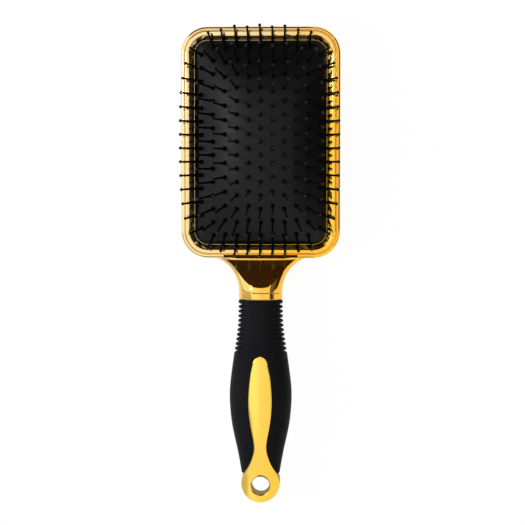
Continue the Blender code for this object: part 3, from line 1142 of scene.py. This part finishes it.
@dataclass
class HandleCore:
    """The bright core: a bar inside the grip, the crowned inlay on both faces, and the hanging eye."""

    handle: HandleForm
    tip: float = 0.0293
    tip_radius: float = 0.0040
    half_depths: Curve = Curve((
        (0.0000, 0.0088),
        (0.0278, 0.0099),
        (0.0530, 0.0114),
        (0.0780, 0.0094),
        (0.0928, 0.0066),
        (0.1115, 0.0050),
    ))
    half_widths: Curve = Curve((
        (0.0335, 0.0040),
        (0.0402, 0.0053),
        (0.0515, 0.0062),
        (0.0594, 0.0059),
        (0.0670, 0.0049),
        (0.0734, 0.0037),
        (0.0783, 0.0033),
        (0.0825, 0.0041),
        (0.0875, 0.0060),
        (0.0918, 0.0086),
    ))
    eye_drop: float = 0.0973
    eye_radius: float = 0.0102
    hole_radius: float = 0.0048
    hole_offset: float = 0.0011
    hole_round: float = 0.0011
    hole_points: int = 72
    hole_steps: int = 6
    skin_half_width: float = 0.0175
    edge: float = 0.0006
    stations: int = 150
    end_bias: float = 0.4
    end_trim: float = 0.0004
    points_across: int = 22
    edge_points: int = 5
    bar_wall: float = 0.0028
    bar_end: float = 0.0060
    tang: Triple = (0.0116, 0.0076, 0.0240)

    @property
    def end(self) -> float:
        """The drop at which the eye ends."""
        return self.eye_drop + self.eye_radius

    def half_width(self, drop: float) -> float:
        """Half the width of the inlay and the eye.

        Args:
            drop: distance from the grip's top.

        Returns:
            The half width.
        """
        if drop < self.tip + self.tip_radius:
            fall = self.tip + self.tip_radius - drop
            return math.sqrt(max(self.tip_radius**2 - fall**2, 0.0))
        if drop < self.half_widths.rows[-1][0]:
            return self.half_widths.at(drop)
        return math.sqrt(max(self.eye_radius**2 - (drop - self.eye_drop) ** 2, 0.0))

    def section(self, drop: float) -> Ring:
        """A crowned section with rounded edges.

        Args:
            drop: distance from the grip's top.

        Returns:
            The ring.
        """
        half_width, half_depth = self.half_width(drop), self.half_depths.at(drop)
        fullness = self.handle.fullness
        edge = min(self.edge, half_width / 2)
        upper = []
        for i in range(self.points_across + 1):
            x = (half_width - edge) * (1 - 2 * i / self.points_across)
            z = half_depth * (1 - (abs(x) / self.skin_half_width) ** fullness) ** (1 / fullness)
            upper.append((x, z))
        side_z = upper[0][1] - edge
        corner = [
            (half_width - edge + edge * math.cos(a), side_z + edge * math.sin(a))
            for a in quarter_turn(self.edge_points)[:-1]
        ]
        top = corner + upper + [(-x, z) for x, z in reversed(corner)]
        y = self.handle.top - drop
        ring = [Vector((x, y, self.handle.height + z)) for x, z in top]
        return ring + [Vector((x, y, self.handle.height - z)) for x, z in reversed(top)]

    def inlay(self) -> bpy.types.Object:
        """Makes the inlay and the eye without its hole.

        Returns:
            The object.
        """
        rings = []
        for i in range(self.stations + 1):
            eased = (1 - math.cos(math.pi * i / self.stations)) / 2
            share = self.end_bias * eased + (1 - self.end_bias) * i / self.stations
            share = min(max(share, self.end_trim), 1 - self.end_trim)
            rings.append(self.section(self.tip + (self.end - self.tip) * share))
        return Workshop.loft("handle_inlay", rings)

    def hole(self) -> bpy.types.Object:
        """Makes the cutter for the hole, with rounded mouths.

        Returns:
            The cutter.
        """
        middle = self.eye_drop + self.hole_offset
        mouth = [(OVERRUN, self.hole_radius + self.hole_round)]
        for turn in quarter_turn(self.hole_steps):
            radius = self.hole_radius + self.hole_round * (1 - math.sin(turn))
            mouth.append((-self.hole_round * (1 - math.cos(turn)), radius))
        sides = [(1, *row) for row in mouth] + [(-1, *row) for row in reversed(mouth)]
        rings = []
        for sign, rise, radius in sides:
            ring = []
            for turn in full_turn(self.hole_points):
                drop = middle - radius * math.sin(turn)
                z = self.handle.height + sign * (self.half_depths.at(drop) + rise)
                ring.append(Vector((radius * math.cos(turn), self.handle.top - drop, z)))
            rings.append(ring)
        return Workshop.loft("hole", rings)

    def bar(self) -> bpy.types.Object:
        """Makes the bar inside the grip, with the socket for the tang.

        Returns:
            The bar.
        """
        handle = self.handle
        bar = handle.tube("bar", 0.0, handle.length - self.bar_end, self.bar_wall)
        width, depth, length = self.tang
        places = (handle.top + OVERRUN, handle.top - length)
        socket = Workshop.loft("socket", bar_ends(width, depth, handle.height, places))
        Workshop.merge(bar, Merge.REMOVE, socket)
        return bar

    def build(self, paint: bpy.types.Material) -> None:
        """Builds the core.

        Args:
            paint: its material.
        """
        core = self.inlay()
        Workshop.merge(core, Merge.REMOVE, self.hole())
        Workshop.merge(core, Merge.JOIN, self.bar())
        Workshop.dress(core, paint)
        Workshop.enrol(core, Body.PADDLE, Slot.GOLD, "handle_core")


@dataclass
class GripSleeve:
    """The rubber sleeve with scalloped ribs on its two sides and a window for the inlay on each face."""

    handle: HandleForm
    core: HandleCore
    rib_count: int = 10
    rib_pitch: float = 0.00246
    rib_start: float = 0.0024
    rib_depth: float = 0.0015
    rib_share: float = 0.74
    fade_start: float = 0.50
    fade_end: float = 0.86
    rib_steps: int = 16
    smooth_stations: int = 70
    end_round: float = 0.0007
    end_steps: int = 5
    gap: float = 0.0002
    window_reach: float = 0.020
    window_steps: int = 120
    crease: float = math.radians(40)

    def groove(self, drop: float) -> float:
        """How deep the ribs' notches are at a distance from the top.

        Args:
            drop: distance from the grip's top.

        Returns:
            The depth on the grip's sides.
        """
        place = (drop - self.rib_start) / self.rib_pitch
        if abs(place - self.rib_count / 2) >= (self.rib_count + 1) / 2:
            return 0.0
        across = (2 * (place - math.floor(place)) - 1) / self.rib_share
        return self.rib_depth * (1 - math.sqrt(max(1 - across * across, 0.0)))

    def stations(self) -> list[float]:
        """The distances from the top at which the grip has rings.

        Returns:
            The distances in order.
        """
        found = [self.end_round * (1 - math.cos(turn)) for turn in quarter_turn(self.end_steps)]
        for i in range((self.rib_count + 1) * self.rib_steps + 1):
            found.append(self.rib_start + self.rib_pitch * (i / self.rib_steps - 0.5))
        last, steps = found[-1], self.smooth_stations
        rest = self.handle.length - last
        return found + [last + rest * (i + 1) / steps for i in range(steps)]

    def ring(self, drop: float) -> Ring:
        """A ring of the grip.

        Args:
            drop: distance from its top.

        Returns:
            The ring.
        """
        handle = self.handle
        half_width, half_depth = handle.half_widths.at(drop), handle.half_depths.at(drop)
        shrink = 0.0
        for edge in (drop, handle.length - drop):
            if edge < self.end_round:
                shrink = self.end_round - math.sqrt(self.end_round**2 - (self.end_round - edge) ** 2)
        groove = self.groove(drop)
        ring = []
        for p in oval(0.0, 1.0, 1.0, 0.0, handle.fullness, handle.points):
            share = (abs(p.x) - self.fade_start) / (self.fade_end - self.fade_start)
            scale = 1 - (groove * ease(min(max(share, 0.0), 1.0)) + shrink) / half_width
            z = handle.height + half_depth * p.z * scale
            ring.append(Vector((half_width * p.x * scale, handle.top - drop, z)))
        return ring

    def window(self) -> bpy.types.Object:
        """Makes the cutter for the inlay's window.

        Returns:
            The cutter.
        """
        core = self.core
        right = []
        for i in range(self.window_steps + 1):
            share = (1 - math.cos(math.pi * i / self.window_steps)) / 2
            drop = core.tip + (core.end - core.tip) * share
            right.append((core.half_width(drop), drop))
        grown = []
        for i, (x, drop) in enumerate(right):
            before, after = right[max(i - 1, 0)], right[min(i + 1, len(right) - 1)]
            along = Vector((after[0] - before[0], after[1] - before[1])).normalized()
            out = Vector((along.y, -along.x)) * self.gap
            grown.append((max(x + out.x, 0.0), drop + out.y))
        grown[0] = (0.0, core.tip - self.gap)
        grown[-1] = (0.0, core.end + self.gap)
        outline = grown + [(-x, drop) for x, drop in reversed(grown[1:-1])]
        rings = [
            [Vector((x, self.handle.top - drop, self.handle.height + z)) for x, drop in outline]
            for z in (-self.window_reach, self.window_reach)
        ]
        return Workshop.loft("window", rings)

    def bar_space(self) -> bpy.types.Object:
        """Makes the cutter for the space that the core's bar fills."""
        end = self.handle.length - self.core.bar_end + self.gap
        return self.handle.tube("bar_space", -OVERRUN, end, self.core.bar_wall - self.gap)

    def build(self, paint: bpy.types.Material) -> None:
        """Builds the sleeve.

        Args:
            paint: its material.
        """
        sleeve = Workshop.loft("grip_rubber", [self.ring(drop) for drop in self.stations()])
        Workshop.merge(sleeve, Merge.REMOVE, self.bar_space())
        Workshop.merge(sleeve, Merge.REMOVE, self.window())
        Workshop.dress(sleeve, paint, self.crease)
        Workshop.enrol(sleeve, Body.PADDLE, Slot.GRIP, "grip_sleeve")


@dataclass(frozen=True)
class Lamp:
    """A soft box: its place and aim, its size and strength, and whether glossy surfaces mirror it."""

    name: str
    place: Triple
    aim: Triple
    size: tuple[float, float]
    power: float
    mirrored: bool = True


@dataclass(frozen=True)
class Flag:
    """A card that the plating mirrors: its middle, its two half edges and how bright it looks."""

    name: str
    middle: Triple
    across: Triple
    up: Triple
    glow: float = 0.0


@dataclass
class Studio:
    """Pale floor, soft boxes, dark cards and the camera over the brush."""

    aim: Triple = (0.00105, -0.0630, 0.0140)
    distance: float = 0.800
    tilt: float = math.radians(3.4)
    turn: float = math.radians(2.0)
    frame_width: float = 0.2767
    sensor_width: float = 36.0
    clip: tuple[float, float] = (0.01, 50.0)
    floor_half: float = 6.0
    floor_drop: float = 0.0002
    floor_shade: Colour = (0.86, 0.86, 0.86)
    shadow_share: float = 0.03
    floor_glow: float = 1.01
    world_fill: float = 0.22
    flag_shade: Colour = (0.045, 0.022, 0.013)
    lamps: tuple[Lamp, ...] = (
        Lamp("key_box", (-0.80, -0.10, 0.46), (0.0, -0.03, 0.0), (0.55, 0.60), 8.0, mirrored=False),
        Lamp("left_panel", (-0.85, -0.05, 1.05), (0.0, -0.05, 0.0), (1.5, 1.9), 1.9),
        Lamp("spark_box", (-0.42, 0.10, 0.80), (0.0, -0.02, 0.0), (0.08, 0.10), 0.8),
    )
    flags: tuple[Flag, ...] = (
        Flag("right_card", (0.42, 0.155, 0.20), (0.0, 0.225, 0.0), (0.0, 0.0, 0.20)),
        Flag("right_scrim", (0.42, 0.155, 0.64), (0.0, 0.225, 0.0), (0.0, 0.0, 0.24), 0.12),
        Flag("corner_scrim", (0.42, -0.22, 0.64), (0.0, 0.15, 0.0), (0.0, 0.0, 0.24), 0.12),
        Flag("corner_card", (0.36, -0.112, 0.62), (0.0, 0.034, 0.0), (0.0, 0.0, 0.12)),
        Flag("far_card", (0.0, 0.4103, 0.77), (0.42, 0.0, 0.0), (0.0, -0.0303, 0.47)),
        Flag("far_low_card", (-0.196, 0.4503, 0.15), (0.224, 0.0, 0.0), (0.0, -0.0097, 0.15)),
        Flag("near_card", (-0.188, -0.52, 0.20), (0.232, 0.0, 0.0), (0.0, 0.0, 0.20)),
        Flag("neck_scrim", (-0.22, -0.22, 0.28), (0.10, -0.14, 0.0), (0.0, 0.0, 0.28), 0.60),
        # painted shadow: a dim card on the floor under the eye, seen only by mirrors, darkens the bore's
        # reflection where the brush's shadow falls
        Flag("eye_painted_shadow", (0.0, -0.1815, 0.0004), (0.016, 0.0, 0.0), (0.0, 0.016, 0.0), 0.25),
    )

    def pale_share(self, shader: Shader) -> Value:
        """Where the pale ground is seen straight, in a mirror or through glass.

        Args:
            shader: the material or the world.

        Returns:
            1 for such rays, 0 for the rest.
        """
        rays = [
            shader.add("ShaderNodeLightPath", output=name)
            for name in ("Is Camera Ray", "Is Glossy Ray", "Is Transmission Ray")
        ]
        return rays[0].or_more(rays[1]).or_more(rays[2])

    def world(self) -> None:
        """Sets the pale surroundings and their fill light."""
        world = bpy.data.worlds.new("studio")
        bpy.context.scene.world = world
        world.use_nodes = True
        shader = Shader(world.node_tree)
        ground = world.node_tree.nodes["Background"]
        pale = self.pale_share(shader)
        shader.feed(ground.inputs["Color"], WHITE)
        shader.feed(ground.inputs["Strength"], self.world_fill + (1 - self.world_fill) * pale)

    def floor(self) -> None:
        """Lays the floor that the brush lies on."""
        half = self.floor_half
        floor = Workshop.card("floor", [(x * half, y * half, -self.floor_drop) for x, y in SQUARE])
        paint = bpy.data.materials.new("pale floor")
        paint.use_nodes = True
        shader = Shader(paint.node_tree)
        paint.node_tree.nodes.remove(paint.node_tree.nodes["Principled BSDF"])
        matt = shader.add("ShaderNodeBsdfDiffuse", None, {"Color": self.floor_shade})
        glow = shader.add("ShaderNodeEmission", None, {"Color": WHITE, "Strength": self.floor_glow})
        share = self.pale_share(shader) * (1 - self.shadow_share)
        mixed = shader.add("ShaderNodeMixShader", None, {0: share, 1: matt, 2: glow})
        shader.feed(paint.node_tree.nodes["Material Output"].inputs["Surface"], mixed)
        floor.data.materials.append(paint)

    def hang_lamps(self) -> None:
        """Hangs the soft boxes."""
        for lamp in self.lamps:
            light = bpy.data.lights.new(lamp.name, "AREA")
            light.shape = "RECTANGLE"
            light.size, light.size_y = lamp.size
            light.energy = lamp.power
            made = bpy.data.objects.new(lamp.name, light)
            made.location = lamp.place
            away = Vector(lamp.aim) - Vector(lamp.place)
            made.rotation_mode = "QUATERNION"
            made.rotation_quaternion = away.to_track_quat("-Z", "Y")
            made.visible_glossy = lamp.mirrored
            bpy.context.scene.collection.objects.link(made)

    def stand_flags(self) -> None:
        """Stands the cards, which only mirrors see."""
        for flag in self.flags:
            paint = bpy.data.materials.new(flag.name)
            paint.use_nodes = True
            surface = paint.node_tree.nodes["Principled BSDF"]
            surface.inputs["Base Color"].default_value = (*self.flag_shade, 1.0)
            surface.inputs["Specular IOR Level"].default_value = 0.0
            surface.inputs["Emission Color"].default_value = (*WHITE, 1.0)
            surface.inputs["Emission Strength"].default_value = flag.glow
            middle, across, up = Vector(flag.middle), Vector(flag.across), Vector(flag.up)
            card = Workshop.card(flag.name, [middle + x * across + z * up for x, z in SQUARE])
            card.data.materials.append(paint)
            card.visible_camera = False
            card.visible_diffuse = False
            card.visible_shadow = False

    def place_camera(self) -> None:
        """Places the camera over the brush."""
        lens = bpy.data.cameras.new("camera")
        camera = bpy.data.objects.new("camera", lens)
        bpy.context.scene.collection.objects.link(camera)
        camera.rotation_euler = (-self.tilt, self.turn, 0.0)
        back = camera.rotation_euler.to_matrix() @ Vector((0.0, 0.0, 1.0))
        camera.location = Vector(self.aim) + self.distance * back
        lens.sensor_width = self.sensor_width
        lens.lens = self.sensor_width * self.distance / self.frame_width
        lens.clip_start, lens.clip_end = self.clip
        bpy.context.scene.camera = camera

    def build(self) -> None:
        """Sets up the studio."""
        bpy.context.scene.view_settings.view_transform = "Standard"
        self.world()
        self.floor()
        self.hang_lamps()
        self.stand_flags()
        self.place_camera()


def clear_scene() -> None:
    """Removes what a new file holds."""
    for old in list(bpy.data.objects):
        bpy.data.objects.remove(old)


def main() -> None:
    """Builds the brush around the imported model."""
    logging.basicConfig(level=logging.INFO, format="%(message)s")
    clear_scene()
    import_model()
    Studio().build()
    gold, inlay, cushion = GOLD_PLATE.make(), INLAY_PLATE.make(), CUSHION_RUBBER.make()
    grip, nylon = GRIP_RUBBER.make(), PIN_NYLON.make()
    form, neck, crown = HeadForm(), NeckForm(), CushionForm()
    seam = form.end - neck.length
    handle = HandleForm(seam)
    PaddleTray(form, neck, handle.height).build(gold)
    FrontFrame(form).build(gold)
    AirCushion(form, crown).build(cushion)
    PinField(crown).build(nylon)
    NeckFerrule(seam, handle.height).build(gold)
    core = HandleCore(handle)
    core.build(inlay)
    GripSleeve(handle, core).build(grip)


if __name__ == "__main__":
    main()
